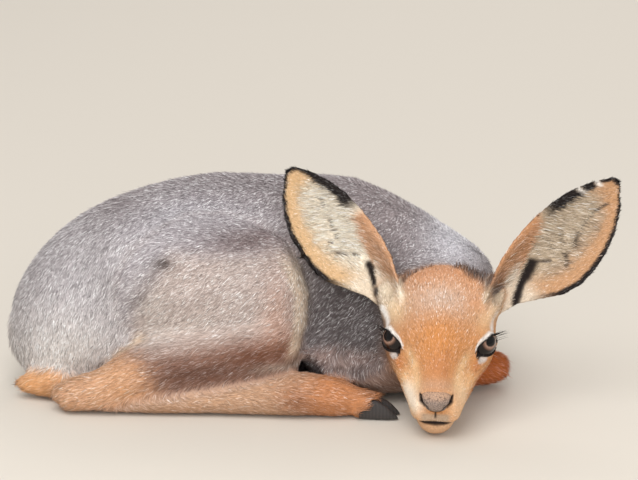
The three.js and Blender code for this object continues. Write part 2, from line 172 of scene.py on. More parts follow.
def ball(centre, radius, rows=16):
    """A round filler of rows by twice rows faces."""
    around = np.linspace(0, 2 * np.pi, 2 * rows, endpoint=False)
    down = np.linspace(0, np.pi, rows + 1)[1:-1]
    places = [(0, 0, 1)] + [(np.sin(d) * np.cos(a), np.sin(d) * np.sin(a), np.cos(d))
                            for d in down for a in around] + [(0, 0, -1)]
    wide, last = len(around), (rows - 1) * len(around) + 1
    faces = [(0, 1 + k, 1 + (k + 1) % wide) for k in range(wide)]
    for row in range(rows - 2):
        for k in range(wide):
            a, b = 1 + row * wide + k, 1 + row * wide + (k + 1) % wide
            faces += [(a, a + wide, b + wide), (a, b + wide, b)]
    faces += [(last, last - wide + (k + 1) % wide, last - wide + k) for k in range(wide)]
    return np.array(places) * radius + np.array(centre), np.array(faces)


solids = {node: swollen(node, SWELL) for node in flesh}
eye_low, eye_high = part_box("eye_right")
EYE_RADIUS = (eye_high - eye_low).x / 2
LID_DEPTH = 0.0009
NOSE_RADII = np.array((6.0, 9.0, 10.5)) / 1000  # along, up and across the muzzle
head_axes = np.array((muzzleward, crownward, leftward))
nose_middle = on_head(41.5, -14, 0)
fillers = [ball(eye, EYE_RADIUS + LID_DEPTH) for eye in (right_eye, left_eye)]
nose_core, nose_faces = ball((0, 0, 0), 0.94)
fillers.append(((nose_core * NOSE_RADII) @ head_axes + np.array(nose_middle), nose_faces))

all_places, all_faces, start = [], [], 0
for places, faces in [*solids.values(), *fillers]:
    all_places.append(places)
    all_faces.append(faces + start)
    start += len(places)


def mesh_object(name, places, faces):
    mesh = bpy.data.meshes.new(name)
    mesh.vertices.add(len(places))
    mesh.vertices.foreach_set("co", np.asarray(places, np.float32).ravel())
    width = faces.shape[1]
    mesh.loops.add(faces.size)
    mesh.loops.foreach_set("vertex_index", np.asarray(faces, np.int32).ravel())
    mesh.polygons.add(len(faces))
    mesh.polygons.foreach_set("loop_start", np.arange(0, faces.size, width, dtype=np.int32))
    mesh.update(calc_edges=True)
    piece = bpy.data.objects.new(name, mesh)
    bpy.context.scene.collection.objects.link(piece)
    return piece


def remeshed(name, places, faces, voxel):
    """One closed mesh of even squares round all these faces."""
    rough = mesh_object(name, places, faces)
    remesh = rough.modifiers.new("one_body", "REMESH")
    remesh.mode = "VOXEL"
    remesh.voxel_size = voxel
    mesh = bpy.data.meshes.new_from_object(rough.evaluated_get(bpy.context.evaluated_depsgraph_get()))
    bpy.data.objects.remove(rough)
    return mesh


skin_mesh = remeshed("skin_rough", np.vstack(all_places), np.vstack(all_faces), VOXEL)


def edges_of(mesh):
    pairs = np.empty(len(mesh.edges) * 2, np.int32)
    mesh.edges.foreach_get("vertices", pairs)
    return pairs.reshape(-1, 2)


def in_one_body(mesh):
    """True for each vertex of the mesh's largest connected body."""
    pairs = edges_of(mesh)
    body = np.arange(len(mesh.vertices))
    while True:
        lowest = body.copy()
        np.minimum.at(lowest, pairs[:, 0], body[pairs[:, 1]])
        np.minimum.at(lowest, pairs[:, 1], body[pairs[:, 0]])
        lowest = lowest[lowest]
        if (lowest == body).all():
            return body == np.bincount(body).argmax()
        body = lowest


# The face is made finer than the rest before it is smoothed
sculpt = bmesh.new()
sculpt.from_mesh(skin_mesh)
outer = in_one_body(skin_mesh)
sculpt.verts.ensure_lookup_table()
bmesh.ops.delete(sculpt, geom=[v for v in sculpt.verts if not outer[v.index]], context="VERTS")
face_middle = on_head(22, -8, 0)
FACE_REACH = 0.034
near_face = [v for v in sculpt.verts if (v.co - face_middle).length < FACE_REACH]
marked = set(near_face)
fine = [e for e in sculpt.edges if e.verts[0] in marked and e.verts[1] in marked]
bmesh.ops.subdivide_edges(sculpt, edges=fine, cuts=1, use_grid_fill=True)
sculpt.to_mesh(skin_mesh)
sculpt.free()

places = corners_of(skin_mesh)
pairs = edges_of(skin_mesh)
triangles = triangles_of(skin_mesh)
neighbours = np.bincount(pairs.ravel(), minlength=len(places))[:, None]


def eased(values, rounds, strength=0.6):
    """Values of the skin's vertices, each drawn towards its neighbours' mean, round after round."""
    values = values.copy()
    for _ in range(rounds):
        total = np.zeros_like(values)
        for column in range(values.shape[1]):
            for near, far in ((0, 1), (1, 0)):
                total[:, column] += np.bincount(pairs[:, near], values[pairs[:, far], column], len(values))
        values += strength * (total / neighbours - values)
    return values


# Which part of the animal each spot belongs to, from the solid whose surface is nearest
PARTS = ["rump", "loin", "chest", "neck", "right_thigh", "left_thigh", "right_shank", "left_shank",
         "right_hind_cannon", "right_hind_pastern", "left_hind_cannon", "right_forearm", "left_forearm",
         "right_fore_cannon", "left_fore_cannon", "tail", "lower_jaw", "head", "ear_right", "ear_left"]
chance = np.random.default_rng(17)
SPOTS_PER_SQUARE_MM = 0.5
LEAST_SPOTS = 50


def spots_on(places, triangles, count, weight=1.0):
    """Random spots spread evenly over faces: (face, share of each corner)."""
    a, b, c = (places[triangles[:, k]] for k in range(3))
    size = np.linalg.norm(np.cross(b - a, c - a), axis=1) * weight
    face = np.searchsorted(np.cumsum(size), chance.random(count) * size.sum())
    face = np.minimum(face, len(triangles) - 1)
    u, v = chance.random(count), chance.random(count)
    over = u + v > 1
    u[over], v[over] = 1 - u[over], 1 - v[over]
    return face, np.stack([1 - u - v, u, v], 1), size.sum() / 2


def placed(values, triangles, face, share):
    return (values[triangles[face]] * share[:, :, None]).sum(1)


def nearest_of(spots):
    """A tree that finds the nearest of these spots."""
    tree = KDTree(len(spots))
    for index, spot in enumerate(spots):
        tree.insert(spot, index)
    tree.balance()
    return tree


finder_spots, finder_parts = [], []
for part_index, part in enumerate(PARTS):
    corners, faces = solids[part]
    whole = spots_on(corners, faces, 1)[2]
    face, share, _ = spots_on(corners, faces, int(whole * 1e6 * SPOTS_PER_SQUARE_MM) + LEAST_SPOTS)
    finder_spots.append(placed(corners, faces, face, share))
    finder_parts += [part_index] * len(face)
finder = nearest_of(np.vstack(finder_spots))
part_of = np.array([finder_parts[finder.find(spot)[1]] for spot in places])
belongs = np.zeros((len(places), len(PARTS)))
belongs[np.arange(len(places)), part_of] = 1


def over(values, rounds=0, rest=0.0):
    """A value for each spot of skin from one per part, or one for both sides, eased across borders."""
    each = np.array([values.get(part, values.get(part.split("_", 1)[-1], rest)) for part in PARTS])
    return eased(belongs @ each[:, None], rounds)


def head_places(points):
    """Points as millimetres along, up and left on the head."""
    return (points - np.array(between_eyes)) @ head_axes.T * 1000


def gate(values, start, end):
    """A smooth step from 0 at start to 1 at end."""
    share = np.clip((values - start) / (end - start), 0, 1)
    return share * share * (3 - 2 * share)


def patch_at(points, middle, reach, power=2):
    """One at a mark's middle, fading to nothing past its reach."""
    return np.exp(-np.linalg.norm((points - np.array(middle)) / np.array(reach), axis=1) ** power)


def streak(points, start, end, width, power=2):
    """One along a line from start to end, fading past its width."""
    start, end = np.array(start, float), np.array(end, float)
    share = np.clip((points - start) @ (end - start) / ((end - start) @ (end - start)), 0, 1)
    away = np.linalg.norm(points - start - share[:, None] * (end - start), axis=1)
    return np.exp(-(away / width) ** power)


# The thigh's front edge, as how far along the trunk it lies at each height
EDGE_HEIGHTS = (26, 30, 40, 50, 67, 80, 94, 103)
EDGE_PLACES = (-12, -7, -4, -2.2, -1.4, -6, -14, -34)


def past_edge(points):
    """Millimetres that a spot lies ahead of the thigh's front edge."""
    return points[:, 0] - np.interp(points[:, 2], EDGE_HEIGHTS, EDGE_PLACES)


def by_edge(points):
    """One near the thigh's front edge on the near side."""
    return gate(points[:, 2], 24, 34) * gate(points[:, 2], 106, 94) * gate(points[:, 1], 16, 6)


# Broad facets are rubbed down by this much of each round: most on the trunk and none on the ears
RUBBING = {"rump": 1, "loin": 1, "chest": 1, "neck": 0.8, "thigh": 1, "shank": 0.35, "forearm": 0.3,
           "hind_cannon": 0.12, "hind_pastern": 0.1, "head": 0.35, "lower_jaw": 0.3, "tail": 0.3}
rubbing = over(RUBBING, 20, 0.05)
ahead = past_edge(places * 1000)
rubbing[:, 0] *= 1 - 0.85 * by_edge(places * 1000) * np.exp(-(ahead / 7) ** 2)
RUBBING_ROUNDS = 60
for _ in range(RUBBING_ROUNDS):
    places += (eased(places, 1) - places) * rubbing
# Then each inward step is paid back by an outward one, which smooths without shrinking
EVENING_ROUNDS = 8
PAYBACK = -0.62
for _ in range(EVENING_ROUNDS):
    places = eased(eased(places, 1), 1, PAYBACK)


def pushed_out(places, height):
    """The hide's vertices moved out along its normals, each by its own height."""
    return places + corner_normals(places, triangles) * height[:, None]


COAT_DEPTH_MM = {"rump": 2.2, "loin": 2.2, "chest": 2.2, "neck": 2.0, "thigh": 2.0, "shank": 1.5,
                 "hind_cannon": 1.1, "hind_pastern": 0.9, "forearm": 1.5, "fore_cannon": 1.0, "tail": 1.6,
                 "lower_jaw": 0.8, "head": 0.8, "ear_right": 0.45, "ear_left": 0.45}
coat_depth = over(COAT_DEPTH_MM, 20) / 1000
# Beside the hooves the hide comes up to the horn and a little into it
SPOTS_PER_HOOF = 900
INTO_HORN = 0.0011
FLOOR_GAP = 0.0004
hooves = {node: swollen(node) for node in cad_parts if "hoof" in node}
horn_spots = []
for corners, faces in hooves.values():
    face, share, _ = spots_on(corners, faces, SPOTS_PER_HOOF)
    horn_spots.append(placed(corners, faces, face, share))
horn_finder = nearest_of(np.vstack(horn_spots))
from_horn = np.array([horn_finder.find(spot)[2] for spot in places])[:, None]
coat_depth *= gate(from_horn, 0.0012, 0.0045)
coat_depth -= INTO_HORN * gate(from_horn, 0.0028, 0.0012)
places = pushed_out(places, -(coat_depth + SWELL)[:, 0])
# A fold before the thigh's edge, and the round of the crown and the chin
ahead = past_edge(places * 1000)
dip = -0.0034 * np.exp(-((ahead - 4) / 4) ** 2) + 0.0012 * np.exp(-((ahead + 3.5) / 4) ** 2)
places = pushed_out(places, dip * by_edge(places * 1000))
crown_rise = 0.0016 * patch_at(head_places(places), (-28, 26, 5), (14, 10, 22), 4)
crown_rise += 0.0026 * streak(head_places(places), (-30, 26, 12), (-19, 25, 30), 5.0, 3)
chin_fall = 0.0018 * patch_at(head_places(places), (38, -36, 0), (12, 8, 12), 4)
places = pushed_out(pushed_out(places, chin_fall), crown_rise)
places[:, 2] = np.maximum(places[:, 2], FLOOR_GAP)

# Lids: an opening shaped like an almond over each eyeball, its long way running from the tear duct,
# low and forward, to the outer corner, high and back
HALF_OPENING = 0.93  # radians from the middle of the opening to each corner
EYE_REACH = EYE_RADIUS * 1.5  # no lid or lid mark lies farther from the eye's middle
LID_RISE = 0.0007
LID_SPREAD = 0.003


class EyeAxes:
    def __init__(self, centre, side):
        self.centre = np.array(centre)
        self.side = side
        self.look = head_way(0.70, 0.05, side * 0.71)
        duct = head_way(0.98, 0.05, side * -0.13)
        self.along = duct - self.look * (duct @ self.look)
        self.along /= np.linalg.norm(self.along)
        self.up = np.cross(self.along, self.look) * side
        if self.up @ np.array(crownward) < 0:
            self.up = -self.up

    def lids(self, bearing):
        """Heights of the lower and the upper lid at a bearing, in radians."""
        share = np.clip(bearing / HALF_OPENING, -1, 1)
        round_off = np.sqrt(np.maximum(1 - np.abs(share) ** 2.2, 0))
        return (-0.44 + 0.10 * share) * round_off, (0.66 - 0.16 * share) * round_off

    def angles(self, points):
        """Bearing along and above the look, in radians, and the distance from the eye's middle."""
        away = points - self.centre
        distance = np.linalg.norm(away, axis=1)
        forward = away @ self.look
        return np.arctan2(away @ self.along, forward), np.arcsin((away @ self.up) / distance), distance

    def opening(self, points):
        """How far points lie below, above and outside the opening between the lids."""
        bearing, height, _ = self.angles(points)
        low, high = self.lids(bearing)
        below, above = low - height, height - high
        beside = np.maximum(np.abs(bearing) - HALF_OPENING, 0)
        outside = np.maximum(np.maximum(below, above), beside)
        return below * EYE_RADIUS, above * EYE_RADIUS, outside * EYE_RADIUS

    def point(self, bearing, height, distance):
        flat = self.look * np.cos(bearing) + self.along * np.sin(bearing)
        return self.centre + (flat * np.cos(height) + self.up * np.sin(height)) * distance


eyes = {"right": EyeAxes(right_eye, -1), "left": EyeAxes(left_eye, 1)}
for eye in eyes.values():
    bearing, _, distance = eye.angles(places)
    outside = eye.opening(places)[2]
    near = (distance < EYE_REACH) & (np.abs(bearing) < 1.5)
    least = EYE_RADIUS + LID_RISE * np.exp(-(outside / LID_SPREAD) ** 2)
    least -= 0.12 * np.maximum(outside - LID_SPREAD, 0)
    raised = np.maximum(distance, least)
    sunk = EYE_RADIUS - 0.0004 - 0.0018 * gate(-outside, 0, 0.0015)
    target = np.where(near, np.where(outside > 0, raised, sunk), distance)
    places = eye.centre + (places - eye.centre) * (target / distance)[:, None]


# Nostrils: a comma down each side of the nose pad, the two meeting under it above the split of the lip
def nostrils(points):
    """How far each of the head's places, in millimetres, lies in a nostril's hole and in its line."""
    flat = np.stack([np.abs(points[:, 2]), points[:, 1]], 1)
    facing = gate(points[:, 0], 33, 37)
    hole = np.maximum(streak(flat, (8.7, -10.0), (8.2, -12.4), 1.05, 4),
                      streak(flat, (8.0, -12.6), (5.8, -14.4), 1.5, 4))
    line = np.maximum(streak(flat, (5.6, -14.6), (2.2, -17.2), 0.85, 4),
                      streak(flat, (2.2, -17.2), (0, -17.5), 1.15, 4))
    line = np.maximum(line, streak(flat, (0, -17.5), (0, -22.5), 0.65, 4))
    return hole * facing, line * facing


# The mouth: a groove that runs back from under the nose on both sides
def from_mouth(points):
    """Millimetres above the line of the mouth."""
    return points[:, 1] - (-27.0 - 0.10 * (41 - points[:, 0]) - 0.008 * points[:, 2] ** 2)


face = head_places(places)
above = from_mouth(face)
in_mouth = gate(face[:, 0], 14, 24) * np.exp(-(above / 1.2) ** 2)
lip = gate(face[:, 0], 20, 32) * np.exp(-((above - 2.6) / 1.8) ** 2)
hole, line = nostrils(face)
places = pushed_out(places, 0.0005 * lip - 0.0016 * in_mouth - 0.0018 * hole - 0.0008 * line)
normals = corner_normals(places, triangles)


# Each ear measured as a leaf: how far along it from base to tip, how far it is from its outer and its
# inner edge, in millimetres, and whether the spot is on the hollow face or on the back
class Leaf:
    def __init__(self, side, facing):
        self.name = "ear_right" if side < 0 else "ear_left"
        self.base = np.array(on_head(-20, 14, side * 25))
        corners = solids[self.name][0]
        self.tip = corners[np.linalg.norm(corners - self.base, axis=1).argmax()]
        self.length = np.linalg.norm(self.tip - self.base)
        self.along = (self.tip - self.base) / self.length
        self.facing = facing / np.linalg.norm(facing)
        across = np.cross(self.along, self.facing)
        self.outward = across / np.linalg.norm(across) * np.sign(across @ np.array(leftward)) * side
        here = part_of == PARTS.index(self.name)
        share, offset = self.share(places[here]), self.offset(places[here])
        self.steps = np.linspace(0.02, 0.985, 70)
        near = [np.abs(share - step) < 0.013 for step in self.steps]
        self.outer = np.array([offset[k].max(initial=-40) for k in near])
        self.inner = np.array([offset[k].min(initial=40) for k in near])

    def share(self, points):
        return (points - self.base) @ self.along / self.length

    def offset(self, points):
        return (points - self.base) @ self.outward * 1000

    def measure(self, points, normals):
        share, offset = self.share(points), self.offset(points)
        to_outer = np.interp(share, self.steps, self.outer) - offset
        to_inner = offset - np.interp(share, self.steps, self.inner)
        to_tip = (1 - share) * self.length * 1000
        hollow = gate(normals @ self.facing, -0.25, 0.25)
        return share, to_outer, to_inner, to_tip, hollow


leaves = [Leaf(-1, np.array((-0.2, -1, 0.12))), Leaf(1, np.array((0.25, -1, 0.05)))]
# The left ear's inner edge has two small notches near the tip
NOTCHES = {"ear_right": (), "ear_left": (0.80, 0.90)}  # shares of the way from base to tip
NOTCH_DEPTH_MM = 2.6
for leaf in leaves:
    share, _, to_inner, _, _ = leaf.measure(places, normals)
    for notch_place in NOTCHES[leaf.name]:
        cut = NOTCH_DEPTH_MM * np.exp(-((share - notch_place) / 0.012) ** 4)
        cut = np.maximum(cut - np.maximum(to_inner, 0), 0) * (part_of == PARTS.index(leaf.name))
        places += leaf.outward * cut[:, None] / 1000
skin_mesh.vertices.foreach_set("co", places.astype(np.float32).ravel())
skin_mesh.update()
skin_mesh.shade_smooth()

# The lie of the coat
# Hair runs from the nose back over the head, from the head to the tail along the trunk, down its sides,
# and down each leg to the toes. It turns gradually from one part to the next, as it does on the animal.
HEAD_PARTS = ("head", "lower_jaw")
nose_tip = on_head(50, -15, 0)
lie = np.zeros_like(places)
for part_index, part in enumerate(PARTS):
    here = part_of == part_index
    spots = places[here]
    if part in HEAD_PARTS:
        lie[here] = unit(spots - np.array(nose_tip)) + np.array(crownward) * 0.25
    elif part.startswith("ear_"):
        leaf = leaves[part == "ear_left"]
        share, to_outer, _, _, hollow = leaf.measure(spots, normals[here])
        fan = hollow * gate(to_outer, 8, 16) * gate(share, 0.32, 0.46)
        lie[here] = leaf.along + leaf.outward * (0.3 + 0.85 * fan)[:, None]
    elif part in ("rump", "loin", "chest", "neck", "tail"):
        towards_rump = np.clip((-0.06 - spots[:, 0]) / 0.09, 0, 1)
        near_face = np.sign(0.03 - spots[:, 1])
        lie[here] = np.stack([-1 + 0.75 * towards_rump, -0.4 * near_face, -0.9 - 0.9 * towards_rump], 1)
    elif part.endswith("thigh"):
        lie[here] = (-0.8, 0, -0.6)
    elif part.endswith("shank"):
        lie[here] = (-0.9, -0.1, -0.3)
    elif part.endswith("forearm"):
        lie[here] = (0.8, 0, -0.6)
    elif part.endswith("fore_cannon"):
        lie[here] = (-1, 0, 0)
    else:
        lie[here] = (1, 0, -0.12)


def along_skin(directions, normals):
    return unit(directions - (directions * normals).sum(1, keepdims=True) * normals)


for _ in range(6):
    lie = along_skin(eased(along_skin(lie, normals), 5), normals)

# Colours of the coat
# A grizzled grey trunk with a charcoal flank, warm thighs, rusty legs and an orange head marked in black
# and white. Each mark is a tint laid on the hide by its place, and the hair that grows there takes it up.
# It fades at its border, as an animal's markings do. Some marks are painted shade in folds, creases and
# hollows, the charcoal flank is partly painted shade, and a few are painted light where a part faces down.
def paint(red, green, blue):
    """A colour as a screen shows it, 0 to 255, turned into light."""
    shown = np.array((red, green, blue)) / 255
    return np.where(shown <= 0.04045, shown / 12.92, ((shown + 0.055) / 1.055) ** 2.4)


GROUND = {"rump": (192, 184, 186), "loin": (172, 162, 164), "chest": (160, 149, 150),
          "neck": (165, 155, 156), "tail": (205, 196, 192), "right_thigh": (202, 184, 176),
          "left_thigh": (195, 180, 174), "right_shank": (200, 180, 170), "left_shank": (246, 190, 134),
          "right_hind_cannon": (196, 155, 124), "left_hind_cannon": (212, 163, 115),
          "right_hind_pastern": (184, 126, 86), "right_forearm": (152, 122, 106),
          "left_forearm": (160, 120, 95), "fore_cannon": (165, 98, 62),
          "lower_jaw": (205, 172, 140), "head": (200, 140, 90),
          "ear_right": (190, 132, 90), "ear_left": (190, 132, 90)}
CHARCOAL_AND_SHADE = (88, 80, 80)
WHITE = (242, 236, 230)
BLACK = (34, 28, 27)
TRUNK_MIDDLE = 30  # millimetres across the trunk: marks on the near side have their like on the far side


def coat_blend(parts):
    """How far each spot belongs to any of these parts."""
    return over({part: 1 for part in parts}, 12)[:, 0]


def dab(colours, weight, tint):
    """Lays a tint over colours by weight."""
    weight = np.clip(weight, 0, 1)[:, None]
    colours *= 1 - weight
    colours += paint(*tint) * weight


def dab_patches(points, weight, patches):
    """Lays patches on the hide, each given as its middle, its reach, its tint and its strength."""
    for middle, reach, tint, strength in patches:
        dab(colour, strength * weight * patch_at(points, middle, reach), tint)


TRUNK = ("rump", "loin", "chest", "neck", "tail")
THIGHS = ("right_thigh", "left_thigh")
SHANKS = ("right_shank", "left_shank")
of_trunk = coat_blend(TRUNK)
of_thigh = coat_blend(THIGHS)
of_hind = coat_blend(THIGHS + SHANKS)
of_cannon = coat_blend(("right_hind_cannon", "right_hind_pastern"))
of_head = coat_blend(HEAD_PARTS)

colour = np.hstack([over({part: paint(*tint)[k] for part, tint in GROUND.items()}, 40) for k in range(3)])
body = places * 1000
body[:, 1] = np.minimum(body[:, 1], 2 * TRUNK_MIDDLE - body[:, 1])

# Trunk: darker along the back, a charcoal flank that is partly a dark marking and partly painted shade,
# a pale seat and belly, the seat made lighter still as painted light where it faces down
dab_patches(body, of_trunk, (
    ((-34, 27, 122), (70, 40, 20), (152, 141, 142), 0.8),
    ((50, 33, 106), (36, 30, 20), (158, 145, 145), 0.8),
    ((-108, 15, 110), (30, 30, 13), (150, 137, 137), 0.75),
    ((-62, 2, 100), (34, 30, 14), (196, 192, 199), 0.85),
    ((-115, -14, 66), (34, 40, 30), (202, 196, 200), 0.8),
    # The pale seat, made lighter still as painted light where it faces down into shade
    ((-140, -8, 22), (34, 50, 28), (238, 230, 224), 0.95),
    ((86, 18, 86), (20, 30, 22), (228, 225, 232), 0.95)))
ahead = past_edge(body)
near_side = gate(body[:, 1], 20, 4)
# The charcoal is partly a dark marking and partly painted shade on the flank in front of the thigh's edge
flank_mark_and_shade = patch_at(body, (26, -12, 52), (36, 44, 44), 4) * gate(ahead, 0, 2.5)
dab(colour, 0.97 * np.maximum(of_trunk, by_edge(body)) * flank_mark_and_shade, CHARCOAL_AND_SHADE)
dab(colour, 0.8 * of_trunk * patch_at(body, (14, -20, 29), (26, 24, 5)), (160, 132, 122))
# Thigh: grey as the trunk above and behind, painted shade along the fold of its upper edge, a warm zone
# within a pale front edge with painted shade on the flank just before it, and rusty lower down, darker
# there as painted shade, turning orange towards the hock
behind = body[:, 0] - np.interp(body[:, 2], (30, 48, 87, 100), (-112, -100, -82, -70))
greying = np.maximum(gate(behind, 8, -8), gate(body[:, 2], 86, 98))
dab(colour, 0.9 * of_thigh * greying, (186, 179, 184))
# Lower down the thigh turns rusty, and darker there as painted shade under its curve
lower = gate(body[:, 2] - 0.14 * (body[:, 0] + 50), 52, 35)
dab(colour, 0.9 * of_hind * near_side * lower * (1 - greying), (136, 96, 78))
dab_patches(body, of_hind, (
    # Painted shade along the fold at the thigh's upper edge
    ((-36, -5, 96), (28, 30, 6), (118, 94, 90), 0.85),
    ((-88, -20, 62), (10, 30, 16), (216, 202, 194), 0.7),
    ((-17, -20, 56), (9, 30, 24), (200, 150, 124), 0.65),
    ((-26, -28, 36), (22, 30, 9), (126, 78, 56), 0.8),
    # Painted shade along the top of the cannon, under the thigh
    ((-62, -30, 27), (38, 30, 7), (116, 80, 66), 0.8)))
dab(colour, 0.5 * of_hind * streak(body, (-90, -24, 40), (-58, -28, 56), 6), (232, 216, 204))
# Painted shade in the hollow of the hip
dab(colour, 0.95 * patch_at(body, (-81, -24, 87), (6, 16, 3)), (84, 72, 68))
dab(colour, 0.5 * streak(body, (-84, -24, 82), (-98, -24, 62), 4), (134, 122, 122))
rim = near_side * of_hind * gate(body[:, 2], 28, 40) * gate(body[:, 2], 92, 80)
dab(colour, 0.85 * rim * np.exp(-((ahead + 2.5) / 4) ** 4), (226, 202, 178))
# Painted shade on the flank just before the thigh's front edge
dab(colour, 0.85 * rim * gate(ahead, -1, 1.5), (70, 62, 60))
dab(colour, 0.7 * of_hind * patch_at(body, (-12, -30, 27), (16, 30, 3.5)), (186, 172, 158))
orange_hock = gate(body[:, 0] + 0.9 * body[:, 2], -58, -90) * near_side * (1 - of_trunk)
dab(colour, 0.9 * of_hind * orange_hock, (218, 164, 122))
of_left_shank = coat_blend(("left_shank",))
dab(colour, 0.9 * of_left_shank * patch_at(body, (-158, -13, 8), (16, 30, 12)), (228, 166, 112))
# Painted light: the shank made lighter where it faces down into shade
dab(colour, 0.7 * of_hind * patch_at(body, (-101, -34, 26), (12, 20, 9)), (226, 172, 130))
colour *= 1 - 0.08 * np.maximum(of_trunk, of_thigh)[:, None]
ridge = of_hind * gate(places[:, 1] * 1000, 30, 20) * streak(body, (-94, -20, 40), (-134, -12, 18), 4.0)
dab(colour, 0.75 * ridge, (226, 198, 168))
# Cannon: a rusty fetlock, an orange foot, and painted shade in the crease along its top
dab_patches(body, of_cannon, (
    ((-8, -36, 12), (12, 30, 9), (150, 94, 62), 0.8),
    ((14, -36, 20), (22, 30, 10), (196, 132, 88), 0.8)))
# Painted shade in the crease where the thigh and shank meet the top of the cannon
dab(colour, 0.7 * streak(body, (-62, -34, 14), (-14, -33, 26), 1.8), (104, 76, 62))
# The knee and foot of the forelegs, rusty
dab(colour, gate(places[:, 0] * 1000, 80, 96) * gate(body[:, 2], 34, 26), (180, 98, 48))

# Face: paler brow, orange bridge, white stripes over the eyes, cream muzzle and rusty cheek spots
face = head_places(places)
sided = face.copy()
sided[:, 2] = np.abs(sided[:, 2])
dab_patches(sided, of_head, (
    ((-6, 23, 0), (15, 13, 19), (202, 176, 158), 0.85),
    ((-28, 27, 4), (13, 12, 18), (208, 150, 112), 0.8),
    ((17, 12, 0), (14, 14, 12), (200, 134, 76), 0.9),
    ((30, 2, 0), (9, 9, 7), (184, 124, 82), 0.8),
    ((38, -6, 0), (5, 4, 8), (180, 148, 126), 0.9),
    ((22, -12, 19), (14, 6, 7), (250, 196, 140), 0.8),
    ((35, -17, 13), (11, 10, 6), (240, 214, 180), 0.95),
    ((-12, 16, 27), (9, 9, 7), (222, 204, 178), 0.85),
    ((-19, 19, 32), (7, 8, 6), (216, 200, 176), 0.9),
    ((-6, 13, 24), (10, 6, 7), (226, 192, 150), 0.7)))
dab(colour, 0.9 * of_head * streak(sided, (-10, 11.5, 32.5), (-2, 8, 29.5), 2.4, 3), WHITE)
dab(colour, 0.6 * of_head * streak(sided, (12, 3, 15), (34, -8, 12), 3.2), (238, 202, 156))
dab(colour, 0.8 * of_head * patch_at(sided, (16, -7.5, 21.5), (6, 4.5, 3)), (206, 130, 76))
dab(colour, 0.8 * of_head * streak(face, (28, -16, -16), (40, -16, -11), 5), (252, 238, 220))
dab(colour, 0.7 * of_head * patch_at(face, (-10, 18, 21), (9, 8, 7)), (194, 134, 94))
dab(colour, 0.6 * of_head * patch_at(face, (38, -18, 13), (9, 8, 5)), (232, 178, 130))
dab(colour, 0.7 * of_head * streak(face, (24, 8, 5.5), (33, 0, 5), 1.8), (166, 106, 66))
band = np.maximum(streak(face, (-33, 27, 8), (-27, 29, 16), 3.2, 4),
                  streak(face, (-27, 29, 16), (-18, 26, 31), 4.6, 4))
thin = np.maximum(streak(face, (-12, 25, -25), (-28, 24.5, -18), 1.3, 3),
                  streak(face, (-28, 24.5, -18), (-36, 25, -6), 1.1, 3))
nape = np.maximum(band, thin)
dab(colour, 0.92 * nape, (62, 55, 56))
above = from_mouth(face)
under_nose = gate(face[:, 0], 30, 38) * np.exp(-((above - 4) / 3.0) ** 4) * gate(sided[:, 2], 10, 6)
dab(colour, 0.8 * of_head * under_nose, (172, 154, 134))
dab(colour, 0.6 * of_head * gate(above, -1, -3) * gate(face[:, 0], 4, 20), (212, 164, 124))
lip_width = (1.9 - 0.13 * sided[:, 2]).clip(0.5)
lips = gate(face[:, 0], 16, 26) * np.exp(-(above / lip_width) ** 4) * gate(sided[:, 2], 11, 8.5)
dab(colour, of_head * lips, (40, 32, 31))
hole, line = nostrils(face)
hole_on_skin = np.maximum(hole, line)
dab(colour, np.maximum(hole, 0.85 * line), BLACK)

# Lids: a thin black rim round each opening, a white stripe above it and a grey patch under the duct
open_eye = np.zeros(len(places))
for eye in eyes.values():
    bearing, height, distance = eye.angles(places)
    under_lid, over_lid, outside = (away * 1000 for away in eye.opening(places))
    near = (distance < EYE_REACH) & (np.abs(bearing) < 1.7)
    stripe = gate(over_lid, 3.8, 2.2) * gate(over_lid, 0.2, 0.8) * gate(bearing, 1.35, 1.1)
    dab(colour, 0.9 * near * stripe * gate(bearing, -1.2, -0.9), WHITE)
    patch = gate(under_lid, 4.0, 2.4) * gate(under_lid, 0, 0.6) * gate(bearing, 1.25, 1.0)
    dab(colour, 0.9 * near * patch * gate(bearing, 0, 0.4), (206, 196, 190))
    duct = np.exp(-((bearing - 1.12) / 0.10) ** 2 - ((height + 0.12) / 0.12) ** 2)
    dab(colour, 0.8 * near * duct, (70, 56, 50))
    dab(colour, near * gate(outside, 1.35, 0.75), BLACK)
    open_eye = np.maximum(open_eye, near * gate(outside, 0.6, 0.2))

# Ears: black rims, white long hair inside with dark gaps between, a warm border, a black slit at the base
# that is painted shade in the hollow between the folded rims, and tan backs, which show along the inner
# edge. Marks are given as millimetres from the ear's base and from its inner edge.
EAR_MARKS = (
    {"warm": (208, 172, 130), "white": (242, 230, 210), "strip": (5.0, 0.54, 31),
     "gaps": (((71, 12), (64, 14.6), 0.7), ((58, 16), (54, 19.5), 0.9), ((51, 19), (47, 21.5), 0.9),
              ((47, 25), (45, 27), 0.8), ((40, 27), (36, 23.5), 1.1), ((34, 20), (32, 18.5), 0.9)),
     "slit_shadow": ((24, 15.5), (9, 18), 2.0)},
    {"warm": (190, 146, 108), "white": (194, 176, 152), "strip": (2.0, 0.56, 46),
     "gaps": (((87, 17), (77, 19), 0.8), ((77, 19), (62, 25), 0.7), ((62, 25), (58, 28), 2.2),
              ((51, 29), (47, 33), 1.9), ((42, 26), (33, 17), 0.7), ((56, 16), (54, 22), 0.5),
              ((49, 14), (47, 21), 0.5)),
     "slit_shadow": ((33, 19.5), (12, 24), 3.0)},
)
ear_fur = np.ones(len(places))
in_notch = np.zeros(len(places))
long_hairs = []
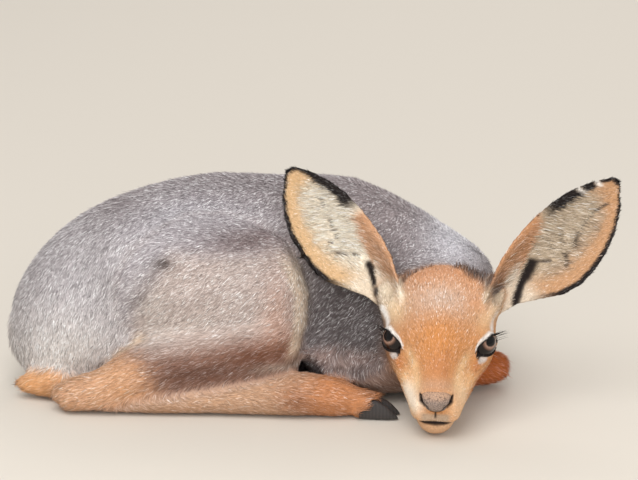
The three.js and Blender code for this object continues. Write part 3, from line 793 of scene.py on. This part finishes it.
for leaf, marks in zip(leaves, EAR_MARKS):
    share, to_outer, to_inner, to_tip, hollow = leaf.measure(places, normals)
    of_ear = over({leaf.name: 1}, 3)[:, 0]
    inside = of_ear * hollow
    on_leaf = np.stack([share * leaf.length * 1000, to_inner], 1)
    dab(colour, inside, marks["warm"])
    white = gate(to_outer, 6, 21) * gate(share, 0.92, 0.76)
    dab(colour, 0.9 * inside * white, marks["white"])
    edge, start, slope = marks["strip"]
    strip = edge + slope * (start - share)
    on_strip = inside * gate(to_inner, strip + 1.2, strip - 1.2) * gate(share, 0.58, 0.5)
    dab(colour, 0.85 * on_strip * gate(share, 0.02, 0.12), (192, 134, 90))
    dab(colour, 0.8 * inside * gate(share, 0.30, 0.18) * gate(to_inner, 7, 12), (222, 208, 188))
    gap = np.zeros(len(places))
    for begin, end, breadth in marks["gaps"]:
        gap = np.maximum(gap, streak(on_leaf, begin, end, breadth + 0.4, 3))
    dab(colour, 0.9 * inside * gap, (58, 50, 46))
    thick = 2.6 + 2.6 * gate(share, 0.97, 0.80)
    rim = np.maximum(gate(to_outer, 3.6, 2.6) * gate(share, 0.16, 0.34),
                     gate(to_inner, thick + 0.5, thick - 0.5) * gate(share, 0.52, 0.64))
    rim = np.maximum(rim, gate(to_tip, 4.4, 3.2))
    for place in NOTCHES[leaf.name]:
        notch = np.exp(-((share - place) / 0.015) ** 4) * gate(to_inner, 6.0, 4.6)
        rim = rim * (1 - notch)
        in_notch = np.maximum(in_notch, of_ear * notch)
        dab(colour, of_ear * notch, (232, 222, 212))
    dab(colour, of_ear * rim, BLACK)
    # The slit is painted shade, the deep hollow between the ear's folded rims at its opening
    begin, end, breadth = marks["slit_shadow"]
    wide_end = np.array(begin) * 0.7 + np.array(end) * 0.3
    slit_shadow = streak(on_leaf, begin, end, breadth, 5)
    slit_shadow = np.maximum(slit_shadow, streak(on_leaf, begin, wide_end, 1.4 * breadth, 5))
    dab(colour, np.maximum(inside, hollow * of_head) * slit_shadow, BLACK)
    bare = np.maximum(slit_shadow, streak(on_leaf, begin, end, breadth + 0.8, 5))
    ear_fur *= 1 - 0.95 * inside * np.maximum(gap, bare)
    long_hair = inside * gate(to_outer, 9, 17) * gate(share, 0.9, 0.75) * gate(to_inner, 2, 5)
    long_hair *= 1 - streak(on_leaf, begin, end, breadth + 4, 5)
    for begin, end, breadth in marks["gaps"]:
        long_hair *= 1 - 0.6 * streak(on_leaf, begin, end, breadth + 1.5, 3)
    long_hairs.append(long_hair)
dab(colour, 0.85 * streak(face, (-17, 31, 25), (-17, 22, 30), 4.2), (78, 66, 64))


def keep_on(mesh, name, colours):
    """Keeps a colour for each vertex of the mesh, for its material to read."""
    layer = mesh.attributes.new(name, "FLOAT_COLOR", "POINT")
    rows = np.ones((len(colours), 4), np.float32)
    rows[:, :3] = colours
    layer.data.foreach_set("color", rows.ravel())


keep_on(skin_mesh, "coat_colour", colour)


class Socket:
    """A node's output that Python's own signs can add to, take from and multiply."""
    def __init__(self, tree, socket=None):
        self.tree, self.socket = tree, socket

    def node(self, kind, settings=None, values=None, out=0):
        """The named or numbered output of a new node with these settings and inputs."""
        made = self.tree.nodes.new(kind)
        for name, value in (settings or {}).items():
            setattr(made, name, value)
        for key, value in (values or {}).items():
            if isinstance(value, Socket):
                value.feed(made, key)
            else:
                made.inputs[key].default_value = value
        return Socket(self.tree, made.outputs[out])

    def feed(self, fed, key):
        """Leads this value into an input of another node."""
        self.tree.links.new(self.socket, fed.inputs[key])

    def bump(self, surface, strength, distance, invert=False):
        """Raises a shader's surface where this value is high."""
        values = {"Strength": strength, "Distance": distance, "Height": self}
        self.node("ShaderNodeBump", {"invert": invert}, values).feed(surface, "Normal")

    def shade(self, surface, factor):
        """Leads this colour, made lighter or darker by a factor, into a shader."""
        values = {0: self, "Scale": factor}
        self.node("ShaderNodeVectorMath", {"operation": "SCALE"}, values).feed(surface, "Base Color")

    def kept(self, name):
        """The colour that keep_on() put on the mesh under this name."""
        return self.node("ShaderNodeAttribute", {"attribute_name": name}, out="Color")

    def maths(self, operation, a, b):
        return self.node("ShaderNodeMath", {"operation": operation}, {0: a, 1: b})

    def __add__(self, other):
        return self.maths("ADD", self, other)

    def __mul__(self, other):
        return self.maths("MULTIPLY", self, other)

    def __sub__(self, other):
        return self.maths("SUBTRACT", self, other)

    def __rsub__(self, other):
        return self.maths("SUBTRACT", other, self)

    __radd__ = __add__
    __rmul__ = __mul__


def new_material(name, roughness, shine):
    """A material, its shader, and where its other nodes start."""
    material = bpy.data.materials.new(name)
    material.use_nodes = True
    surface = material.node_tree.nodes["Principled BSDF"]
    surface.inputs["Roughness"].default_value = roughness
    surface.inputs["Specular IOR Level"].default_value = shine
    return material, surface, Socket(material.node_tree)


hide, surface, graph = new_material("hide", 0.85, 0.2)
where = graph.node("ShaderNodeTexCoord", out="Object")
grain = graph.node("ShaderNodeTexNoise", None, {"Vector": where, "Scale": 900.0, "Detail": 3.0}, "Fac")
graph.kept("coat_colour").shade(surface, 0.62 + 0.6 * grain)
grain.bump(surface, 0.35, 0.0004)
skin_mesh.materials.clear()
skin_mesh.materials.append(hide)
skin = bpy.data.objects.new("skin", skin_mesh)
bpy.context.scene.collection.objects.link(skin)
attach(skin, "root")
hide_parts(*flesh)

# Eyes
# Each is a dark wet ball: a brown iris round a level oblong pupil, near-black at both corners, under a
# clear bulging front. It is set in the hide behind the lids.
eye_glass, surface, graph = new_material("eye_glass", 0.08, 0.15)
graph.kept("eye_colour").feed(surface, "Base Color")
surface.inputs["Coat Weight"].default_value = 0.3
surface.inputs["Coat Roughness"].default_value = 0.03
IRIS_REACH = 0.62  # radians from the pupil's middle
PUPIL_WIDTH, PUPIL_HEIGHT = 0.38, 0.31
for which, eye in eyes.items():
    rounded, faces = ball((0, 0, 0), 1.0, 56)
    gaze = head_way(0.57, 0.48, eye.side * 0.66)
    level = unit(np.cross(np.array(crownward), gaze)[None])[0]
    rise = np.cross(gaze, level)
    aside, aloft = np.arctan2(rounded @ level, rounded @ gaze), np.arcsin((rounded @ rise).clip(-1, 1))
    away = np.hypot(aside, aloft)
    turn = np.arctan2(aloft, aside)
    rays = 1 + 0.12 * np.sin(29 * turn) * np.sin(47 * turn + 1)
    eye_colour = np.tile(paint(24, 17, 16), (len(rounded), 1))
    dab(eye_colour, gate(away, IRIS_REACH, IRIS_REACH - 0.08), (84, 60, 48))
    dab(eye_colour, gate(away, IRIS_REACH - 0.06, 0.36), (152, 120, 104))
    eye_colour *= rays[:, None]
    pupil = gate((aside / PUPIL_WIDTH) ** 2 + (aloft / PUPIL_HEIGHT) ** 2, 1.15, 0.9)
    dab(eye_colour, pupil, (10, 8, 9))
    radius = EYE_RADIUS * (0.985 + 0.045 * gate(away, 0.8, 0.2))
    piece = mesh_object(f"eye_{which}_ball", eye.centre + rounded * radius[:, None], faces)
    keep_on(piece.data, "eye_colour", eye_colour)
    piece.data.shade_smooth()
    piece.data.materials.append(eye_glass)
    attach(piece, "root")
    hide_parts(f"eye_{which}")

# Nose pad
# Bare grained skin between the nostrils, wide at the top and narrow at the lip, moist and a little
# shiny. It grows out of the end of the muzzle.
nose_skin, surface, graph = new_material("nose_skin", 0.45, 0.4)
where = graph.node("ShaderNodeTexCoord", out="Object")
pebbles = graph.node("ShaderNodeTexVoronoi", None, {"Vector": where, "Scale": 1300.0}, "Distance")
graph.kept("nose_colour").shade(surface, 1.3 - 0.95 * pebbles)
pebbles.bump(surface, 0.6, 0.0003, True)
rounded, nose_faces = ball((0, 0, 0), 1.0, 48)
pad = rounded * (6.4, 6.6, 10.6)
pad[:, 2] *= 0.82 + 0.18 * rounded[:, 1]
pad += (42.0, -12.4, 0)
hole, line = nostrils(pad)
nose_colour = np.tile(paint(146, 127, 116), (len(pad), 1))
dab(nose_colour, gate(pad[:, 1], -10.5, -7.0), (184, 148, 122))
dab(nose_colour, gate(np.abs(pad[:, 2]), 8.0, 9.5), (214, 190, 164))
dab(nose_colour, np.maximum(hole, 0.9 * line), BLACK)
pad -= unit(rounded) * (1.5 * hole + 0.6 * line)[:, None]
piece = mesh_object("nose_pad_skin", pad / 1000 @ head_axes + np.array(between_eyes), nose_faces)
keep_on(piece.data, "nose_colour", nose_colour)
piece.data.shade_smooth()
piece.data.materials.append(nose_skin)
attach(piece, "root")
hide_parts("nose_pad")

# Hooves
# Two claws of black horn to each foot, smooth and a little worn at the rim, with faint rings of growth.
# Each sits on the last bone of its toe.
horn, surface, graph = new_material("horn", 0.42, 0.4)
where = graph.node("ShaderNodeTexCoord", out="Object")
wave = {"Vector": where, "Scale": 160.0, "Distortion": 3.0, "Detail": 2.0}
rings = graph.node("ShaderNodeTexWave", {"bands_direction": "X"}, wave, "Fac")
blacks = {"Factor": rings, 6: (*paint(52, 49, 48), 1), 7: (*paint(62, 58, 57), 1)}
graph.node("ShaderNodeMix", {"data_type": "RGBA"}, blacks, 2).feed(surface, "Base Color")
rings.bump(surface, 0.12, 0.0002)
CLAW_VOXEL = 0.0007
WEAR_ROUNDS = 22
for node, (corners, faces) in hooves.items():
    claw_mesh = remeshed("claw_rough", corners, faces, CLAW_VOXEL)
    worn = bmesh.new()
    worn.from_mesh(claw_mesh)
    for _ in range(WEAR_ROUNDS):
        bmesh.ops.smooth_vert(
            worn, verts=worn.verts, factor=0.5, use_axis_x=True, use_axis_y=True, use_axis_z=True)
    worn.to_mesh(claw_mesh)
    worn.free()
    claw_mesh.shade_smooth()
    piece = bpy.data.objects.new(f"{node}_horn", claw_mesh)
    bpy.context.scene.collection.objects.link(piece)
    claw_mesh.materials.clear()
    claw_mesh.materials.append(horn)
    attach(piece, "root")
    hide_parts(node)

# Coat
# Short flat hair over the whole calf, in thin tufts that overlap from nose to tail like thatch. Each is
# a small solid spike of four faces, rooted just under the hide.
coat_hair, surface, graph = new_material("coat_hair", 0.7, 0.25)
graph.kept("coat_colour").feed(surface, "Base Color")
TUFT_FACES = np.array([(0, 1, 3), (1, 2, 3), (2, 0, 3), (0, 2, 1)])
ROOT_DEPTH = 0.0003
PATCH = 0.003  # how wide each tuft's own patch on the unwrapped hide is


def tufts(name, corners):
    """A piece of spikes, from the four corners of each."""
    order = np.arange(len(corners))[:, None, None] * 4 + TUFT_FACES[None]
    return mesh_object(name, corners.reshape(-1, 3), order.reshape(-1, 3))


def unwrapped(part_names):
    """The hide of these parts on its own, flattened: its triangles, and the flat place of each corner."""
    chosen = np.isin(part_of, [PARTS.index(name) for name in part_names])
    kept = triangles[chosen[triangles].any(1)]
    used, renumbered = np.unique(kept, return_inverse=True)
    patch = mesh_object("hide_patch", places[used], renumbered.reshape(-1, 3))
    bpy.ops.object.select_all(action="DESELECT")
    patch.select_set(True)
    bpy.context.view_layer.objects.active = patch
    bpy.ops.object.mode_set(mode="EDIT")
    bpy.ops.mesh.select_all(action="SELECT")
    bpy.ops.uv.smart_project(angle_limit=math.radians(75), island_margin=0.002)
    bpy.ops.object.mode_set(mode="OBJECT")
    flat = np.empty(len(kept) * 6, np.float32)
    patch.data.uv_layers.active.uv.foreach_get("vector", flat)
    bpy.data.objects.remove(patch)
    return kept, flat.reshape(-1, 3, 2)


# Length, lift and grizzle of the hair of each part: millimetres, radians and a spread of brightness
HAIR = {"rump": (3.3, 0.34, 0.40), "loin": (2.9, 0.36, 0.42), "chest": (2.9, 0.36, 0.42),
        "neck": (2.9, 0.34, 0.38), "tail": (6.0, 0.22, 0.2), "right_thigh": (3.2, 0.30, 0.36),
        "left_thigh": (3.4, 0.26, 0.26), "right_shank": (4.4, 0.22, 0.28), "left_shank": (4.4, 0.2, 0.2),
        "right_forearm": (4.6, 0.22, 0.22), "left_forearm": (4.0, 0.2, 0.18),
        "hind_cannon": (4.0, 0.2, 0.26), "right_hind_pastern": (3.2, 0.18, 0.24),
        "right_fore_cannon": (3.2, 0.18, 0.22),
        "left_fore_cannon": (3.0, 0.18, 0.16), "lower_jaw": (2.0, 0.2, 0.16), "head": (1.9, 0.27, 0.28),
        "ear_right": (2.0, 0.2, 0.25), "ear_left": (2.0, 0.2, 0.25)}
HAIR_WIDTH = 0.5  # millimetres across a tuft at its root
length, lift, grizzle = (over({part: row[k] for part, row in HAIR.items()}, 14)[:, 0] for k in range(3))
length *= 1 - 0.45 * (of_head * gate(face[:, 0], 20, 36))
length *= 1 + 1.2 * nape
length *= 1 + 0.9 * of_cannon * gate(body[:, 0], 22, 32)
length *= 1 - 0.6 * in_notch
lift += 0.5 * nape
grizzle += 0.08 * of_head * patch_at(sided, (-8, 23, 0), (20, 14, 20), 4)
for long_hair in long_hairs:
    length += 3.4 * long_hair
    lift += 0.12 * long_hair
    grizzle += 0.06 * long_hair
# Tufts are as wide all over, but for the long hair of the left ear, where they are a little wider
width = HAIR_WIDTH + 0.10 * long_hairs[1]
# No hair grows on the eyes, the nose pad, the nostrils and the lips
on_pad = gate(face[:, 0], 36, 39) * gate(np.hypot(face[:, 2] / 9.4, (face[:, 1] + 12.4) / 6.4), 1.08, 0.85)
furry = ear_fur * (1 - open_eye) * (1 - on_pad) * (1 - np.maximum(hole_on_skin, 0.9 * of_head * lips))
for eye in eyes.values():
    distance = eye.angles(places)[2] * 1000
    length *= 1 - 0.5 * gate(distance, 16, 12)


def grow(name, part_names, count):
    """A piece of coat over these parts of the hide."""
    kept, flat = unwrapped(part_names)
    face, share, _ = spots_on(places, kept, count, furry[kept].mean(1) * dense[kept].mean(1))

    def here(values):
        return placed(values.reshape(len(places), -1), kept, face, share)

    root = here(places)
    up = unit(here(normals))
    combed = along_skin(here(lie), up)
    sideways = np.cross(up, combed)
    each = (len(root), 1)
    swing = chance.normal(0, 0.22, each)
    raised = here(lift) * (1 + chance.normal(0, 0.25, each))
    lain = (combed * np.cos(swing) + sideways * np.sin(swing)) * np.cos(raised) + up * np.sin(raised)
    across = unit(np.cross(up, lain))
    long = here(length) / 1000 * np.exp(chance.normal(0, 0.2, each))
    wide = here(width) / 1000 * np.exp(chance.normal(0, 0.15, each))
    sunk = root - up * ROOT_DEPTH
    corners = np.stack([sunk - across * wide / 2, sunk + across * wide / 2,
                        sunk + up * wide * 0.45 + lain * long * 0.10, sunk + lain * long], 1)
    corners[:, :, 2] = np.maximum(corners[:, :, 2], 0.0002 + 0.0003 * chance.random(each))
    piece = tufts(name, corners)
    mesh = piece.data
    # Most tufts keep the hide's colour; some are dark, and some pale and greyer, which makes the grizzle
    tone = np.exp(chance.normal(0, 1, each) * here(grizzle))
    base = here(colour)
    ashen = np.clip(tone - 1, 0, 1) * 0.55
    base = base * tone * (1 - ashen) + ashen * (0.25 + 0.75 * base.mean(1, keepdims=True)) * tone
    # Each tuft is darker at its root, painted shade where the hair lies deep in the coat, and lighter at
    # its tip
    root_shade_to_tip = np.array([0.66, 0.66, 0.78, 1.14])
    tints = base[:, None, :] * root_shade_to_tip[None, :, None]
    keep_on(mesh, "coat_colour", tints.reshape(-1, 3).clip(0, 1))
    shading = unit((up[:, None, :] * 0.8 + np.stack([-across, across, up, lain * 0.3 + up], 1) * 0.45
                    ).reshape(-1, 3))
    custom = mesh.attributes.new("custom_normal", "FLOAT_VECTOR", "POINT")
    custom.data.foreach_set("vector", shading.astype(np.float32).ravel())
    place = (flat[face] * share[:, :, None]).sum(1)
    around = PATCH * np.array([(-0.5, -0.5), (0.5, -0.5), (0, -0.1), (0, 0.5)])
    layer = mesh.uv_layers.new(name="OFBake")
    spread_out = (place[:, None, :] + around[None]).clip(0, 1)
    order = np.arange(len(root))[:, None, None]
    layer.uv.foreach_set("vector", spread_out[order, TUFT_FACES[None]].astype(np.float32).ravel())
    mesh.materials.append(coat_hair)
    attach(piece, "root")


MOST = 49000  # tufts to one piece
# Thin hair needs more of it to cover: tufts are shared out by how small they are
dense = 1 / (length * width) ** 0.8
LEGS = [part for part in PARTS if any(word in part for word in ("cannon", "arm", "pastern", "shank"))]
grow("coat_rump", ["rump", "tail"], MOST)
grow("coat_loin", ["loin"], MOST)
grow("coat_chest", ["chest"], MOST)
grow("coat_neck", ["neck"], 22000)
grow("coat_thighs", THIGHS, MOST)
grow("coat_legs", LEGS, MOST)
grow("coat_head", HEAD_PARTS, MOST)
grow("coat_ears", ["ear_right", "ear_left"], MOST)

# Lashes
# A row of stiff black hairs along each upper lid, longest at the outer corner, where they sweep aside.
# Each is a spike like the coat's tufts, rooted just above the edge of the lid.
lash_hair, surface, _ = new_material("lash_hair", 0.5, 0.3)
surface.inputs["Base Color"].default_value = (*paint(28, 23, 22), 1)
LASHES = 46
LASH_WIDTH = 0.00036
for which, eye in eyes.items():
    bearing = np.linspace(-0.95, 0.45, LASHES) + chance.normal(0, 0.02, LASHES)
    top = eye.lids(bearing)[1]
    root = np.stack([eye.point(a, b + 0.05, EYE_RADIUS + 0.0003) for a, b in zip(bearing, top)])
    sweep = (leftward * eye.side * 0.85 + crownward * 0.35 - muzzleward * 0.05).normalized()
    stray = chance.normal(0, 0.10, (LASHES, 3))
    heading = unit(np.array(sweep)[None] + unit(root - eye.centre) * 0.3 + stray)
    long = (0.0025 + 0.0050 * gate(bearing, 0.3, -0.8)) * np.exp(chance.normal(0, 0.12, LASHES))
    across = unit(np.cross(heading, eye.look)) * LASH_WIDTH / 2
    thick = np.cross(across, heading)
    corners = np.stack([root - across, root + across, root + thick, root + heading * long[:, None]], 1)
    piece = tufts(f"lashes_{which}", corners)
    piece.data.materials.append(lash_hair)
    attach(piece, "root")
